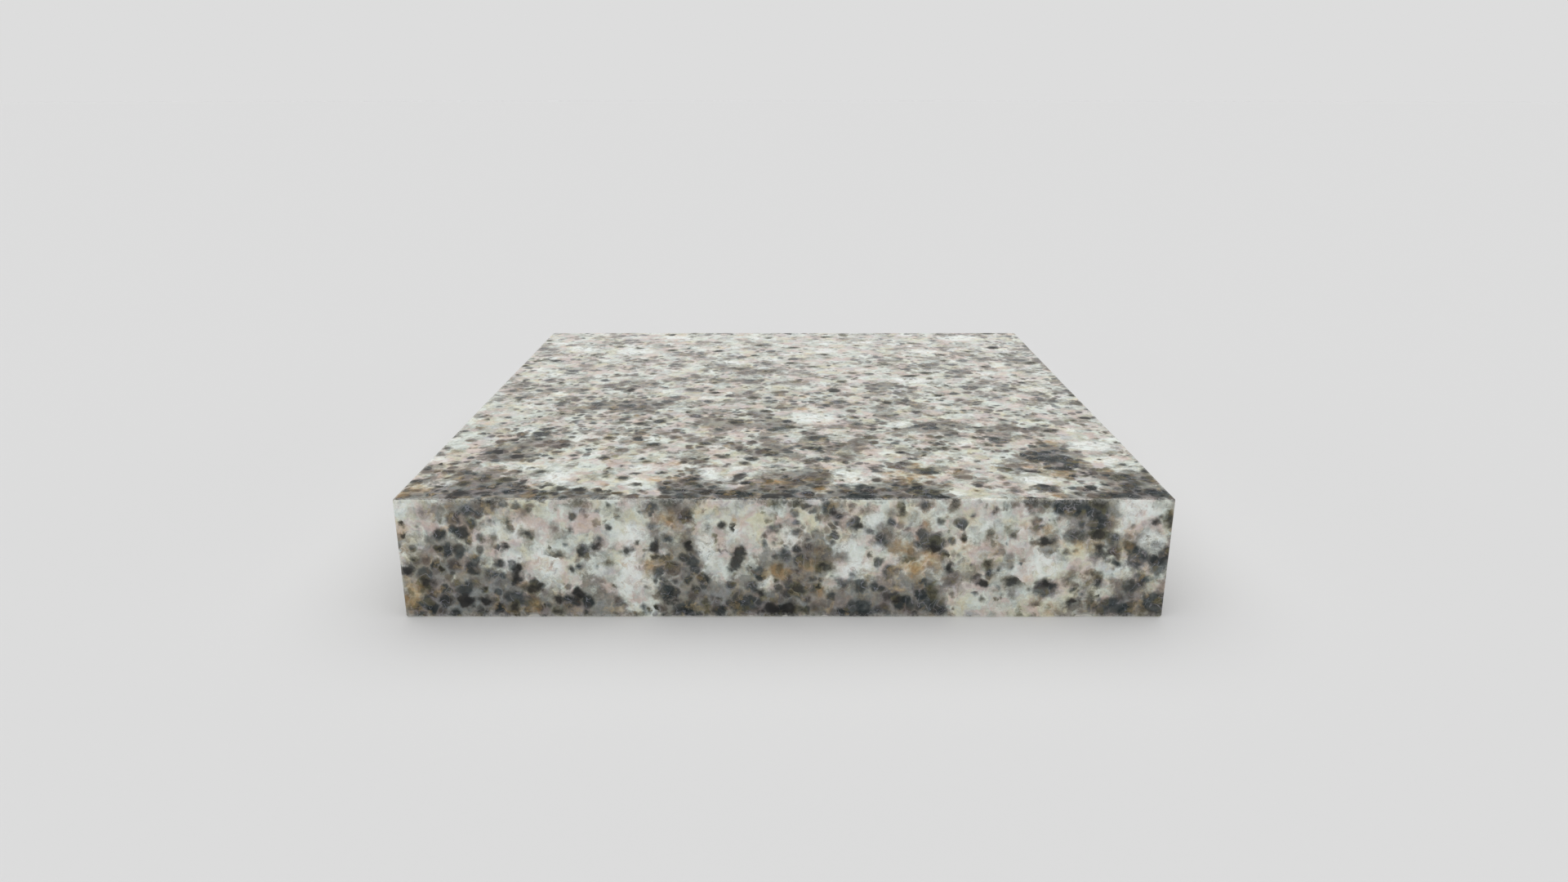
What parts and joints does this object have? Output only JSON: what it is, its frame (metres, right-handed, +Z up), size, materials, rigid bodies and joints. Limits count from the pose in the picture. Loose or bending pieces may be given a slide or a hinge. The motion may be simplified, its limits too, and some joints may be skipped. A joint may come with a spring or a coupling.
{
  "type": "granite slab",
  "caption": "Thick square slab of polished speckled granite, a heavy flat base that leather is stamped, carved and punched on.",
  "frame": {"origin": "centre of the underside, on the surface the slab lies on", "axes": "+Z up, square to the polished working face; +X to the right along the front face; +Y to the back, so the front face looks along -Y"},
  "size_m": [0.3048, 0.3048, 0.0508],
  "materials": {
    "granite": "satin"
  },
  "bodies": {
    "root": {"granite_slab": "granite"}
  },
  "joints": []
}
